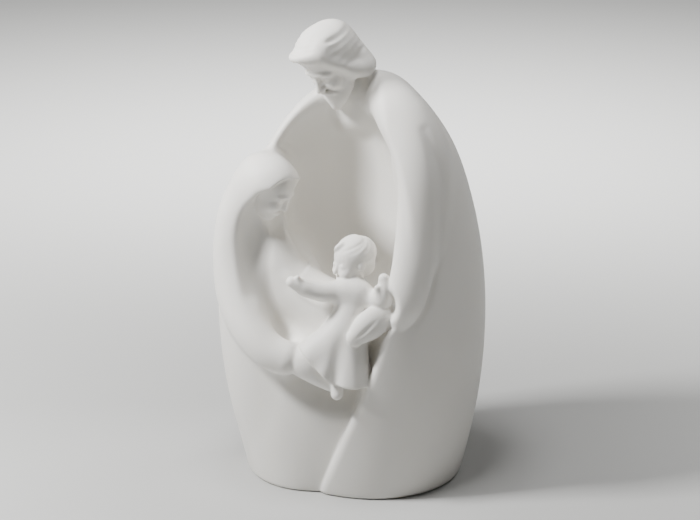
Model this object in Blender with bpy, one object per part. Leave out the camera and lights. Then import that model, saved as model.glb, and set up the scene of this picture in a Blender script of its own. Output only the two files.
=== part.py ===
"""A holy family statue: a bearded father in a wide cloak bends over a veiled mother and a small child.

The whole group is cast as one hollow piece of unglazed white porcelain, so it is one solid.
It stands on its flat underside. X runs along the front, -Y is the front and Z is up, in metres.
The form is worked out as soft clay would be: round masses are blended together, hollows are
pressed in, and rolls are laid along smooth curves. The skin of the result is the mesh.
"""
import math

import bpy
import numpy as np

# Driving sizes. Every length below them is in parts, and the statue is TALL parts high.
HEIGHT = 0.250
TALL = 252.4
PART = HEIGHT / TALL

# Mesh: the cell size in parts, and the share of the triangles that the solid keeps
CELL = 1.7
KEEP = 0.085

# Cloak: centre of the egg, and its reach to the left, right, front, back, below and above
CLOAK_CENTRE = (9, -1, 88)
CLOAK_LEFT, CLOAK_RIGHT = 74, 65
CLOAK_FRONT, CLOAK_BACK = 58, 50
CLOAK_BELOW, CLOAK_ABOVE = 145, 135

# Hollow inside the cloak, above the child
HOLLOW_CENTRE = (-8, -44, 139)
HOLLOW_LEFT, HOLLOW_RIGHT = 53, 43
HOLLOW_DEEP = 58
HOLLOW_BELOW, HOLLOW_ABOVE = 57, 88

# Hollow inside the mother's mantle
LAP_CENTRE = (-34, -50, 122)
LAP_LEFT, LAP_RIGHT = 27, 36
LAP_DEEP, LAP_TALL = 36, 46

# Heads: height from chin to crown, centre, and the nod, turn and lean in degrees
FATHER_HEAD = 35.5
FATHER_AT = (-10, -14, 230.2)
FATHER_TURN = (42, -45, 0)
MOTHER_HEAD = 30.5
MOTHER_AT = (-41.4, -27.4, 166)
MOTHER_TURN = (35, 70, 0)
VEIL_SIZE = 29
VEIL_AT = (-41, -27, 163)
CHILD_HEAD = 24.5
CHILD_AT = (0.5, -38, 129.5)
CHILD_TURN = (5, -58, 0)

# Soft folds down the back: how wide and how deep
FOLD_WIDE = 8
FOLD_DEEP = 2.8


class Patch:
    """A batch of points close together, with the ball around them."""

    def __init__(self, points, middle=None, reach=None):
        self.points = points
        if middle is None:
            low = points.min(0)
            high = points.max(0)
            middle = 0.5 * (low + high)
            reach = 0.5 * float(np.linalg.norm(high - low))
        self.middle = middle
        self.reach = reach

    def near(self, low, high, margin):
        gap = np.maximum(np.maximum(low - self.middle, self.middle - high), 0.0)
        return gap @ gap < (self.reach + margin) ** 2


def soft_min(a, b, blend):
    """The smaller of two distances, with the valley between two forms rounded off."""
    blend = np.maximum(blend, 1e-4)
    near = np.maximum(blend - np.abs(a - b), 0.0)
    return np.minimum(a, b) - near * near / (4.0 * blend)


def turn_matrix(nod=0.0, turn=0.0, lean=0.0):
    """Nods forward about X, leans about Y, then turns about Z, in degrees."""
    a, b, c = (math.radians(v) for v in (nod, lean, turn))
    about_x = np.array([[1, 0, 0], [0, math.cos(a), -math.sin(a)], [0, math.sin(a), math.cos(a)]])
    about_y = np.array([[math.cos(b), 0, math.sin(b)], [0, 1, 0], [-math.sin(b), 0, math.cos(b)]])
    about_z = np.array([[math.cos(c), -math.sin(c), 0], [math.sin(c), math.cos(c), 0], [0, 0, 1]])
    return about_z @ about_y @ about_x


def ball(centre, radii):
    """An egg-shaped mass. A radius given as a pair is the reach towards minus and towards plus."""
    pairs = [r if isinstance(r, tuple) else (r, r) for r in radii]
    low = np.array([p[0] for p in pairs], np.float32)
    high = np.array([p[1] for p in pairs], np.float32)
    centre = np.array(centre, np.float32)

    def distance(patch, margin):
        if not patch.near(centre - low, centre + high, margin):
            return None
        off = patch.points - centre
        radius = np.where(off < 0, low, high)
        share = off / radius
        size = np.sqrt((share * share).sum(1)) + 1e-6
        slope = np.sqrt(((share / radius) ** 2).sum(1)) + 1e-9
        return size * (size - 1.0) / slope

    return distance


def plane(point, normal):
    """The half space on the side that the normal points away from."""
    normal = np.array(normal, float)
    normal = (normal / np.linalg.norm(normal)).astype(np.float32)
    point = np.array(point, np.float32)

    def distance(patch, margin):
        return (patch.points - point) @ normal

    return distance


class Curve:
    """A natural cubic through rows that start with x, y, z, timed by the length of its chords."""

    def __init__(self, rows):
        rows = np.array(rows, float)
        if len(rows) == 2:
            rows = np.array([rows[0], 0.5 * (rows[0] + rows[1]), rows[1]])
        steps = np.linalg.norm(np.diff(rows[:, :3], axis=0), axis=1)
        knots = np.concatenate([[0.0], np.cumsum(steps)])
        count = len(knots)
        matrix = np.zeros((count, count))
        right = np.zeros_like(rows)
        matrix[0, 0] = 1.0
        matrix[-1, -1] = 1.0
        for i in range(1, count - 1):
            a = knots[i] - knots[i - 1]
            b = knots[i + 1] - knots[i]
            matrix[i, i - 1:i + 2] = (a, 2 * (a + b), b)
            right[i] = 6 * ((rows[i + 1] - rows[i]) / b - (rows[i] - rows[i - 1]) / a)
        bend = np.linalg.solve(matrix, right)
        gap = np.diff(knots)[:, None]
        slope = (rows[1:] - rows[:-1]) / gap - gap * (2 * bend[:-1] + bend[1:]) / 6
        self.knots = knots.astype(np.float32)
        self.terms = [
            rows[:-1].astype(np.float32),
            slope.astype(np.float32),
            (bend[:-1] / 2).astype(np.float32),
            ((bend[1:] - bend[:-1]) / (6 * gap)).astype(np.float32),
        ]
        self.times = np.linspace(0.0, knots[-1], 3 * count).astype(np.float32)
        self.places = self.at(self.times)[0][:, :3]

    def at(self, time):
        i = np.clip(np.searchsorted(self.knots, time, side="right") - 1, 0, len(self.terms[0]) - 1)
        s = (time - self.knots[i])[:, None]
        a, b, c, d = (term[i] for term in self.terms)
        return a + s * (b + s * (c + s * d)), b + s * (2 * c + 3 * s * d), 2 * c + 6 * s * d

    def nearest(self, points):
        """The time of the nearest place for each point: the nearest chord first, then two steps."""
        start = self.places[:-1]
        along = self.places[1:] - start
        length = (along * along).sum(1)
        dot = points @ along.T - (start * along).sum(1)
        share = np.clip(dot / length, 0, 1)
        gap = (points * points).sum(1)[:, None] - 2 * (points @ start.T) + (start ** 2).sum(1)
        gap += share * (share * length - 2 * dot)
        i = gap.argmin(1)
        time = self.times[i] + share[np.arange(len(i)), i] * (self.times[1] - self.times[0])
        for _ in range(2):
            place, slope, bend = self.at(time)
            off = place[:, :3] - points
            down = (off * slope[:, :3]).sum(1)
            size = (slope[:, :3] ** 2).sum(1)
            bow = size + (off * bend[:, :3]).sum(1)
            time = np.clip(time - down / np.maximum(bow, 0.3 * size), 0.0, self.knots[-1])
        return time


def roll(rows, flatten=None):
    """A round roll of clay along a smooth curve. Each row is x, y, z and the radius there.
    flatten is a direction and a factor: the roll is that much thinner along the direction."""
    rows = np.array(rows, float)
    low = (rows[:, :3] - rows[:, 3:4]).min(0)
    high = (rows[:, :3] + rows[:, 3:4]).max(0)
    stretch = np.eye(3)
    if flatten is not None:
        along = np.array(flatten[0], float)
        along /= np.linalg.norm(along)
        stretch += (1.0 / flatten[1] - 1.0) * np.outer(along, along)
    curve = Curve(np.hstack([rows[:, :3] @ stretch, rows[:, 3:4]]))
    back = np.linalg.inv(stretch).astype(np.float32)
    stretch = stretch.astype(np.float32)

    def distance(patch, margin):
        if not patch.near(low, high, margin):
            return None
        points = patch.points if flatten is None else patch.points @ stretch
        place = curve.at(curve.nearest(points))[0]
        off = points - place[:, :3]
        gap = np.sqrt((off * off).sum(1))
        if flatten is None:
            return gap - place[:, 3]
        true = off @ back
        short = np.sqrt((true * true).sum(1)) / (gap + 1e-6)
        return (gap - place[:, 3]) * np.clip(short, flatten[1], 1.0)

    return distance


class Clay:
    """Forms put together one after the other. The group is itself a form."""

    def __init__(self):
        self.steps = []

    def add(self, form, blend=0.0):
        self.steps.append(("add", form, blend))

    def cut(self, form, blend=0.0):
        self.steps.append(("cut", form, blend))

    def keep(self, form, blend=0.0):
        self.steps.append(("keep", form, blend))

    def score(self, rows, width, depth, reach=(1, 1, 1)):
        """A soft groove along a curve, or a ridge if the depth is negative. Each row is x, y, z
        and the share of the depth there. A reach above one carries it further along that axis."""
        curve = Curve(rows)
        narrow = 1.0 / np.array(reach, np.float32)
        wide = 2.6 * width * np.array(reach)
        low = curve.places.min(0)
        high = curve.places.max(0)

        def amount(patch, margin):
            if not patch.near(low - wide, high + wide, 0):
                return None
            place = curve.at(curve.nearest(patch.points))[0]
            off = (patch.points - place[:, :3]) * narrow
            return depth * place[:, 3] * np.exp(-(off * off).sum(1) / (width * width))

        self.steps.append(("score", amount, 0.0))

    def __call__(self, patch, margin):
        total = None
        for kind, form, blend in self.steps:
            other = form(patch, margin + (14.0 if callable(blend) else blend))
            if kind == "add" and total is None:
                total = other
                continue
            if other is None:
                if kind == "keep":
                    return None
                continue
            if total is None:
                continue
            if callable(blend):
                blend = blend(patch.points)
            if kind == "add":
                total = soft_min(total, other, blend)
            elif kind == "cut":
                total = -soft_min(-total, other, blend)
            elif kind == "keep":
                total = -soft_min(-total, -other, blend)
            else:
                total = total + other
        return total


def placed(form, centre, turn, size):
    """A form that was made one unit tall about its own middle, turned, sized and put at centre."""
    centre = np.array(centre, float)
    matrix = turn_matrix(*turn) / size

    def distance(patch, margin):
        if not patch.near(centre - 0.9 * size, centre + 0.9 * size, margin):
            return None
        points = (patch.points - centre.astype(np.float32)) @ matrix.astype(np.float32)
        inner = Patch(points, (patch.middle - centre) @ matrix, patch.reach / size)
        found = form(inner, margin / size)
        return None if found is None else found * np.float32(size)

    return distance


def on_head(centre, radii, around, up, lift=1.0):
    """A place over an egg-shaped crown: around from the front, up from the level, in degrees."""
    a = math.radians(around)
    e = math.radians(up)
    reach = (math.sin(a) * math.cos(e), -math.cos(a) * math.cos(e), math.sin(e))
    return [c + lift * r * s for c, r, s in zip(centre, radii, reach)]


def lips(head, half, front, full):
    """Two soft rolls across the mouth: half its width, how far forward it lies and how full it is."""
    for z, forward, radius in ((-0.254, front, 0.85 * full), (-0.304, front + 0.017, full)):
        corner = -0.27 if z > -0.28 else -0.286
        head.add(roll([(-half, front + 0.05, corner, 0.4 * full), (0, forward, z, radius),
                       (half, front + 0.05, corner, 0.4 * full)]), 0.03)


def adult_face(nose=1.0):
    """A head that looks along -Y with its eyes cast down: brow, nose, cheeks, lips and chin."""
    h = Clay()
    h.add(ball((0, 0.06, 0.13), (0.345, 0.42, 0.37)))
    h.add(ball((0, -0.10, -0.12), (0.27, 0.25, 0.37)), 0.10)
    h.add(ball((0, -0.22, -0.40), (0.12, 0.11, 0.10)), 0.12)
    for side in (-1, 1):
        h.cut(ball((side * 0.135, -0.42, 0.03), (0.095, 0.10, 0.065)), 0.10)
        h.add(ball((side * 0.13, -0.27, 0.015), (0.08, 0.075, 0.06)), 0.03)
        h.add(ball((side * 0.155, -0.24, -0.13), (0.10, 0.10, 0.09)), 0.08)
        brow = [(0.05, -0.345, 0.115, 0.024), (0.13, -0.345, 0.125, 0.028), (0.23, -0.27, 0.08, 0.02)]
        h.add(roll([(side * x, y, z, r) for x, y, z, r in brow]), 0.06)
        lid = [(0.07, -0.335, -0.015, 0.6), (0.13, -0.36, -0.03, 1), (0.20, -0.31, -0.015, 0.6)]
        h.score([(side * x, y, z, share) for x, y, z, share in lid], 0.016, 0.010)
    tip = -0.365 - 0.07 * nose
    h.add(roll([(0, -0.335, 0.08, 0.035), (0, 0.5 * tip - 0.1675, -0.03, 0.038), (0, tip, -0.135, 0.047)]), 0.05)
    for side in (-1, 1):
        h.add(ball((side * 0.045, tip + 0.05, -0.15), (0.035, 0.05, 0.03)), 0.03)
    lips(h, 0.10, -0.362, 0.030)
    return h


def father_head():
    """The adult face with a short full beard, a moustache and hair swept back to a rolled edge."""
    h = Clay()
    h.add(adult_face())
    h.add(ball((0, -0.25, -0.42), (0.17, 0.16, 0.16)), 0.05)
    for side in (-1, 1):
        jaw = [(0.30, 0.0, -0.10, 0.05), (0.255, -0.10, -0.30, 0.075),
               (0.14, -0.24, -0.44, 0.08), (0.03, -0.34, -0.56, 0.06)]
        h.add(roll([(side * x, y, z, r) for x, y, z, r in jaw]), 0.09)
        lip = [(0.01, -0.405, -0.215, 0.03), (0.08, -0.37, -0.25, 0.032), (0.14, -0.30, -0.33, 0.015)]
        h.add(roll([(side * x, y, z, r) for x, y, z, r in lip]), 0.03)
    h.add(roll([(0, -0.30, -0.45, 0.09), (0, -0.36, -0.58, 0.05)]), 0.05)
    centre = (0, 0.12, 0.18)
    crown = (0.41, 0.44, 0.39)
    h.add(ball(centre, crown), 0.02)
    h.add(ball((0, 0.30, -0.12), (0.37, 0.26, 0.36)), 0.12)
    # a parting: the forelock rolls over to one side, the rest sweeps back over both ears
    h.add(ball((-0.02, -0.04, 0.37), (0.35, 0.34, 0.25)), 0.08)
    h.add(roll([(0.17, -0.21, 0.40, 0.05), (0.06, -0.32, 0.46, 0.06), (-0.08, -0.385, 0.50, 0.055),
                (-0.20, -0.35, 0.47, 0.055), (-0.30, -0.23, 0.36, 0.06), (-0.36, -0.09, 0.20, 0.07)]), 0.10)
    for side in (-1, 1):
        sweep = [(0.17, -0.19, 0.40, 0.05), (0.27, -0.17, 0.27, 0.06), (0.335, -0.08, 0.10, 0.08),
                 (0.355, 0.02, -0.09, 0.11), (0.36, 0.15, -0.24, 0.14), (0.31, 0.27, -0.31, 0.16),
                 (0.10, 0.34, -0.34, 0.16)]
        h.add(roll([(side * x, y, z, r) for x, y, z, r in sweep]), 0.10)
    for i in range(4):
        h.score([(0.17, -0.20 + 0.07 * i, 0.50 + 0.03 * i, 0.1),
                 (0.03, -0.31 + 0.08 * i, 0.57 + 0.025 * i, 1),
                 (-0.15, -0.33 + 0.08 * i, 0.54 + 0.03 * i, 1),
                 (-0.31, -0.20 + 0.07 * i, 0.41 + 0.03 * i, 0.6)], 0.035, 0.025)
    for side in (-1, 1):
        for i in range(5):
            wave = []
            for s, share in ((0.0, 0.2), (0.35, 1), (0.7, 1), (1.0, 0.5)):
                around = side * (46 + 5 * i + (100 - 4 * i) * s)
                up = 54 - 15 * i - 30 * s + 5 * math.sin(math.pi * s)
                wave.append((*on_head((0, 0.12, 0.12), (0.45, 0.47, 0.46), around, up), share))
            h.score(wave, 0.045, 0.035)
    return h


def child_head():
    """A rounder, younger head with full cheeks, small ears and short smooth hair."""
    h = Clay()
    h.add(ball((0, 0.07, 0.12), (0.37, 0.42, 0.37)))
    h.add(ball((0, -0.10, -0.14), (0.30, 0.26, 0.33)), 0.12)
    for side in (-1, 1):
        h.cut(ball((side * 0.135, -0.43, 0.0), (0.10, 0.10, 0.07)), 0.10)
        h.add(ball((side * 0.13, -0.275, -0.015), (0.085, 0.08, 0.065)), 0.03)
        h.add(ball((side * 0.16, -0.25, -0.17), (0.115, 0.11, 0.10)), 0.08)
        h.add(ball((side * 0.365, 0.04, -0.03), (0.05, 0.08, 0.11)), 0.03)
    h.add(roll([(0, -0.34, 0.0, 0.03), (0, -0.385, -0.08, 0.035), (0, -0.42, -0.145, 0.045)]), 0.05)
    lips(h, 0.08, -0.368, 0.026)
    h.add(ball((0, -0.26, -0.40), (0.10, 0.10, 0.08)), 0.08)
    centre = (0, 0.14, 0.17)
    crown = (0.415, 0.455, 0.385)
    h.add(ball(centre, crown), 0.01)
    h.add(ball((0, 0.30, -0.12), (0.32, 0.22, 0.27)), 0.08)
    h.add(roll([(0.02, -0.20, 0.44, 0.05), (-0.05, -0.29, 0.36, 0.05), (-0.12, -0.31, 0.29, 0.02)]), 0.05)
    for side in (-1, 1):
        for i in range(6):
            wave = []
            for s, share in ((0.0, 0.0), (0.35, 1), (0.75, 1), (1.0, 0.3)):
                around = side * (180 - (160 - 27 * i) * s)
                up = 80 - (58 + 7 * i) * s
                wave.append((*on_head(centre, crown, around, up), share))
            h.score(wave, 0.035, 0.022)
    return h


def cloak_edge(patch, margin):
    """The space in front of the mother, left of the slanting edge where the cloak's flap ends."""
    heights = np.array([-20, 3, 22, 37, 48, 62, 75, 88, 101, 115], np.float32)
    across = np.array([-23, -16, -9, -3.5, 0.8, 6.8, 11.4, 16, 19, 22], np.float32)
    x, y, z = patch.points.T
    return np.maximum(0.94 * (x - np.interp(z, heights, across).astype(np.float32)), y + 8)


def shoulder_line(patch, margin):
    """The space to the right of the mother's neck and far shoulder."""
    heights = np.array([100, 110, 117, 121.5, 127, 132, 136, 141.5, 148, 160, 175, 190], np.float32)
    across = np.array([10, -2, -13, -20, -25.5, -29.5, -32, -34, -35.5, -35, -31, -31], np.float32)
    x, y, z = patch.points.T
    return 0.8 * (np.interp(z, heights, across).astype(np.float32) - x)


def far_arm_blend(points):
    """The far arm runs softly into the mantle on the left and stands clear of the cloak."""
    return np.clip((-30 - points[:, 0]) * 1.0, 4, 16)


def father_sleeve():
    """The cloak falls from the shoulder over the arm and ends in a pointed cuff."""
    return roll([
        (17, -14, 211, 8), (30, -28, 199, 12), (36, -37, 182, 12.5), (36.5, -42, 160, 12.5),
        (34.5, -47, 136, 12.5), (30.5, -51, 118, 11.5), (27.5, -53, 107, 9.5), (25, -54.5, 96.5, 3),
    ], flatten=((0.35, -0.9, 0.1), 0.7))


def sleeve_blend(points):
    """The sleeve runs softly out of the shoulder and stands crisp above the cuff."""
    return np.clip((points[:, 2] - 120) / 90 * 20, 1.0, 20)


def mother_arm():
    """The mantle's rim goes down from the veil, round the elbow and along the forearm."""
    return roll([
        (-45.5, -18, 168, 14), (-56.5, -21, 154, 11.8), (-61.8, -23, 137, 10), (-62.2, -26, 120, 9.8),
        (-58, -33, 103, 10.5), (-50, -42, 90, 10), (-41, -47, 82.5, 9.4), (-34, -49, 80, 9),
    ])


def veil_opening():
    """The veil is open in front of the face, and hollow a little way behind its edge."""
    o = Clay()
    o.add(ball((0, -0.50, 0.0), (0.60, 0.50, 0.64)))
    o.keep(plane((0, -0.14, 0), (0, 1, 0.25)), 0.02)
    o.add(ball((-0.08, -0.16, 0.10), (0.42, 0.27, 0.43)), 0.10)
    return o


def dress():
    """The child's long dress flares to the left and ends in a hem that rises at that side."""
    d = Clay()
    d.add(roll([
        (1, -44, 115, 7.5), (0.5, -45, 104, 8.5), (0, -47, 92, 9.5),
        (-1, -49, 80, 11), (-1, -51, 66, 12.5), (-1, -52, 50, 14),
    ]))
    d.add(roll([(-2, -46, 99, 6), (-11, -49, 90, 8), (-21, -51, 81, 9), (-30, -52, 73, 9.5)]), 4)
    d.add(roll([(-1, -46, 104, 7), (-7, -48.5, 90, 9), (-12, -50.5, 78, 10.5), (-17, -51.5, 66, 11.5)]), 3)
    d.score([(-4, -57, 96, 0.2), (-7, -61, 84, 1), (-9, -63, 70, 1)], 3, 1.6)
    d.score([(5, -60, 90, 0.2), (7, -61, 76, 1), (8, -62, 64, 1)], 2.6, 1.2)
    d.keep(plane((-17, -60, 76.8), (-1, 0, -0.9)), 1.0)
    d.keep(plane((-1, -62, 67.8), (-0.16, 0.15, -1)), 1.0)
    return d


def child():
    """The child stands with both arms held out, one bare foot below the hem."""
    c = Clay()
    c.add(dress())
    c.add(roll([(-5, -45, 115.5, 6), (-14, -48, 116, 5.2), (-23, -50, 118.5, 4.4)]), 5)
    c.add(roll([(-22, -50, 118.5, 3.6), (-27, -51, 121, 3.6), (-30, -51.5, 122.5, 3.0)]), 1.5)
    c.add(roll([(-26, -52, 121, 1.8), (-27, -52.5, 125, 1.4)]), 1.0)
    c.add(roll([(6, -45, 114, 6), (12, -47, 111.5, 5.4), (17, -50, 113, 5)]), 5)
    c.add(roll([(15.8, -50, 113, 5), (17.6, -51, 117.5, 4.6), (18, -51.3, 121, 4), (17.4, -51.5, 124.2, 2.8)]), 3)
    c.add(roll([(15, -53.5, 116, 1.9), (13.9, -54.3, 120, 1.5)]), 1.2)
    c.add(roll([(1, -42, 117, 5), (2, -40, 123, 5)]), 3)
    c.add(roll([(-6, -54, 72, 3.4), (-6.8, -56.5, 66, 3.3), (-6.8, -57.5, 63, 3.2)]), 1)
    return c


def mother_hand():
    return roll([(-32, -47, 80, 6), (-25, -50.5, 78.5, 8), (-17, -52, 72.5, 6.5), (-8, -53, 66, 4)])


def father_hand():
    h = Clay()
    h.add(roll([(23, -45, 105, 4.5), (16.5, -51.5, 103.5, 7.2), (9.5, -55, 99.5, 7.8), (3, -57, 94, 4.8)],
               flatten=((0.3, -1, 0.1), 0.7)))
    for k in range(3):
        shift = 2.6 * (k - 1)
        h.score([(13 + shift, -59, 103 + shift, 0.2), (7 + shift, -61, 98 + shift, 1),
                 (1 + shift, -62, 92 + shift, 1)], 0.9, 0.6)
    return h


def statue():
    """The whole group, from the big masses down to the hands and heads."""
    s = Clay()
    cloak_reach = ((CLOAK_LEFT, CLOAK_RIGHT), (CLOAK_FRONT, CLOAK_BACK), (CLOAK_BELOW, CLOAK_ABOVE))
    s.add(ball(CLOAK_CENTRE, cloak_reach))
    # the cloak's flap spreads a little where it meets the base
    s.add(ball((14, -6, 60), (50, 50, (140, 80))), 6)
    # fullness over the upper arm, so that the sleeve lies nearly flush with the cloak
    s.add(ball((34, -14, 148), (26, 34, (62, 52))), 8)
    s.cut(cloak_edge, 4)
    # the mother's skirt, pressed in below her lap
    skirt = Clay()
    skirt.add(ball((-5, 0, 85), ((62.5, 60), (51, 44), (150, 90))))
    skirt.add(ball((-24, -8, 60), (31, 34, (140, 80))), 6)
    skirt.cut(ball((-6, -76, 89), (50, 47, 50)), 6)
    s.add(skirt, 1.2)
    s.cut(ball(HOLLOW_CENTRE, ((HOLLOW_LEFT, HOLLOW_RIGHT), HOLLOW_DEEP, (HOLLOW_BELOW, HOLLOW_ABOVE))), 3)
    # the mother's mantle, and the hollow inside it
    mantle = Clay()
    mantle.add(ball((-44, -6, 102), ((27, 26), (34, 40), (87, 76))))
    mantle.cut(shoulder_line, 4)
    s.add(mantle, 8)
    s.cut(ball(LAP_CENTRE, ((LAP_LEFT, LAP_RIGHT), LAP_DEEP, LAP_TALL)), 6)
    s.add(father_sleeve(), sleeve_blend)
    # the mother's neck, her far arm that reaches behind the child, and her lap
    far_arm = [(-43, -17, 158, 6), (-42, -18, 148, 7), (-41, -20, 139, 7.5), (-37.5, -22, 129, 8.5),
               (-31.5, -24, 119, 9.5), (-23, -27, 111, 10), (-14, -30, 106.5, 10), (-4, -32, 103, 10)]
    s.add(roll(far_arm), far_arm_blend)
    s.add(roll([(-46, -14, 118, 8), (-38, -15, 104, 12), (-24, -17, 97, 15), (-10, -24, 86, 19)]), 20)
    s.add(mother_arm(), 9)
    s.add(placed(ball((0, 0.10, 0.06), (0.50, (0.62, 0.58), 0.58)), VEIL_AT, MOTHER_TURN, VEIL_SIZE), 8)
    s.cut(placed(veil_opening(), VEIL_AT, MOTHER_TURN, VEIL_SIZE), 2)
    s.cut(roll([(-42, -36, 160, 7), (-48, -35, 148, 8.5), (-50, -37, 132, 8), (-48, -43, 116, 7)]), 5)
    s.cut(ball((19, -58, 111), (5, 8, 8)), 3)
    # the crease beside the sleeve, from the shoulder down to the cuff
    crease = ((38, 199, 0.3), (44, 184, 0.8), (46.5, 165, 1), (45.5, 146, 1),
              (41.5, 119, 1), (34, 102, 0.8), (27, 93, 0.2))
    s.score([(x, -36, z, share) for x, z, share in crease], 2.8, 2.0, (1, 6, 1))
    # a thin fold of the mantle under the child's arm
    for lift in (0, 4):
        fold = [(-34, 119 + lift, 0.2), (-26, 112 + lift, 1), (-14, 106 + lift, 1), (-6, 104 + lift, 0.6)]
        s.score([(x, -34, z, share) for x, z, share in fold], 1.6, -1.3, (1, 5, 1))
    s.add(father_hand(), 1)
    s.add(mother_hand(), 1)
    s.add(placed(adult_face(0.5), MOTHER_AT, MOTHER_TURN, MOTHER_HEAD), 1)
    s.add(roll([(6, 4, 202, 13), (1, 2, 213, 12), (-4, -2, 224, 10)]), 6)
    s.add(placed(father_head(), FATHER_AT, FATHER_TURN, FATHER_HEAD), 1.5)
    s.add(placed(child_head(), CHILD_AT, CHILD_TURN, CHILD_HEAD), 1)
    s.add(child(), 1)
    # long soft folds down the back
    for x, y in ((-24, 42), (4, 50), (34, 44)):
        fold = [(0.7 * x, y - 4, 196, 0.1), (x, y, 130, 1), (1.1 * x, y, 70, 1), (1.2 * x, y - 4, 6, 0.6)]
        s.score(fold, FOLD_WIDE, FOLD_DEEP)
    s.cut(plane((0, 0, 0), (0, 0, 1)), 2)
    return s


def sample(form, low, high, step, block=14):
    """The form's distances on a grid, worked out block by block and only near the skin."""
    far = 50.0
    blocks = np.ceil((high - low) / step / block).astype(int)
    grid = np.full(blocks * block + 1, far, np.float32)
    half = block * step * math.sqrt(3) / 2
    ticks = np.arange(block + 1)
    fine = np.stack(np.meshgrid(ticks, ticks, ticks, indexing="ij"), -1).reshape(-1, 3)
    ticks = np.linspace(0, block, 5)
    coarse = np.stack(np.meshgrid(ticks, ticks, ticks, indexing="ij"), -1).reshape(-1, 3)
    for index in np.ndindex(*blocks):
        first = np.array(index) * block
        middle = low + (first + 0.5 * block) * step
        span = tuple(slice(k, k + block + 1) for k in first)
        found = form(Patch((low + (first + coarse) * step).astype(np.float32), middle, half), half)
        if found is None:
            continue
        if np.abs(found).min() > half * 0.45 + 1.0:
            if found[0] < 0:
                grid[span] = np.minimum(grid[span], -far)
            continue
        found = form(Patch((low + (first + fine) * step).astype(np.float32), middle, half), 2 * step)
        if found is not None:
            grid[span] = found.reshape((block + 1,) * 3)
    return grid


def join_corners(grid):
    """Fills in the grid points between two parts of the clay that touch only at a corner."""
    for _ in range(6):
        for axis in range(3):
            turned = np.moveaxis(grid, axis, 0)
            a = turned[:, :-1, :-1] < 0
            b = turned[:, 1:, :-1] < 0
            c = turned[:, :-1, 1:] < 0
            d = turned[:, 1:, 1:] < 0
            falling = (a & d & ~b & ~c, (1, 0), (0, 1))
            rising = (b & c & ~a & ~d, (0, 0), (1, 1))
            for cross, first, second in (falling, rising):
                for k, i, j in np.argwhere(cross):
                    for di, dj in (first, second):
                        turned[k, i + di, j + dj] = min(turned[k, i + di, j + dj], -0.05)
    return grid


def skin(grid, low, step):
    """Quads of the skin: one point in each cell that it crosses, one quad round each crossed edge."""
    grid = join_corners(grid)
    inside = grid < 0
    shape = np.array(grid.shape) - 1
    corner_steps = [(i & 1, (i >> 1) & 1, (i >> 2) & 1) for i in range(8)]
    filled = np.zeros(shape, np.uint8)
    for a, b, c in corner_steps:
        filled += inside[a:a + shape[0], b:b + shape[1], c:c + shape[2]]
    cells = np.argwhere((filled > 0) & (filled < 8))
    index = np.full(shape, -1, np.int32)
    index[tuple(cells.T)] = np.arange(len(cells))
    corners = [grid[tuple((cells + corner).T)] for corner in corner_steps]
    total = np.zeros((len(cells), 3))
    number = np.zeros((len(cells), 1))
    for i in range(8):
        for axis in range(3):
            if (i >> axis) & 1:
                continue
            a = corners[i]
            b = corners[i | (1 << axis)]
            crossed = (a < 0) != (b < 0)
            place = np.tile(np.array(corner_steps[i], float), (len(cells), 1))
            place[:, axis] += np.where(crossed, a / np.where(crossed, a - b, 1.0), 0.0)
            total += place * crossed[:, None]
            number += crossed[:, None]
    points = low + (cells + total / number) * step
    quads = []
    for axis in range(3):
        u = (axis + 1) % 3
        v = (axis + 2) % 3
        lower = [slice(None)] * 3
        upper = [slice(None)] * 3
        lower[axis] = slice(0, -1)
        upper[axis] = slice(1, None)
        edges = np.argwhere(inside[tuple(lower)] != inside[tuple(upper)])
        starts_in = inside[tuple(edges.T)]
        ring = []
        for du, dv in ((-1, -1), (0, -1), (0, 0), (-1, 0)):
            cell = edges.copy()
            cell[:, u] += du
            cell[:, v] += dv
            ring.append(index[tuple(cell.T)])
        ring = np.stack(ring, 1)
        ring[~starts_in] = ring[~starts_in][:, ::-1]
        quads.append(ring)
    return points.astype(np.float32), np.concatenate(quads).astype(np.int32)


def settle(form, points, side=16.0, reach=0.12):
    """Moves each point of the skin along the slope until it lies on the form itself."""
    key = np.floor((points - points.min(0)) / side).astype(np.int64)
    size = key.max(0) + 1
    flat = (key[:, 0] * size[1] + key[:, 1]) * size[2] + key[:, 2]
    order = np.argsort(flat, kind="stable")
    cuts = np.nonzero(np.diff(flat[order]))[0] + 1
    ends = reach * np.array([[1, 1, 1], [1, -1, -1], [-1, 1, -1], [-1, -1, 1]], np.float32)
    for chosen in np.split(order, cuts):
        batch = points[chosen]
        found = form(Patch(np.concatenate([batch + end for end in ends])), 1.5).reshape(4, -1)
        slope = (found.T @ ends) / (4 * reach * reach)
        steep = np.maximum((slope * slope).sum(1), 0.1)
        points[chosen] = batch - slope * np.clip(found.mean(0) / steep, -0.6, 0.6)[:, None]
    return points


def mesh_from(name, points, quads):
    mesh = bpy.data.meshes.new(name)
    mesh.vertices.add(len(points))
    mesh.vertices.foreach_set("co", points.ravel())
    mesh.loops.add(4 * len(quads))
    mesh.loops.foreach_set("vertex_index", quads.ravel())
    mesh.polygons.add(len(quads))
    mesh.polygons.foreach_set("loop_start", np.arange(0, 4 * len(quads), 4, dtype=np.int32))
    mesh.update(calc_edges=True)
    mesh.shade_smooth()
    return mesh


def bisque_porcelain():
    """Unglazed white porcelain: almost white, and matt."""
    material = bpy.data.materials.new("white_bisque_porcelain")
    material.use_nodes = True
    shader = material.node_tree.nodes["Principled BSDF"]
    shader.inputs["Base Color"].default_value = (0.84, 0.835, 0.82, 1.0)
    shader.inputs["Roughness"].default_value = 0.55
    shader.inputs["Metallic"].default_value = 0.0
    return material


for old in list(bpy.data.objects):
    bpy.data.objects.remove(old)

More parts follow.
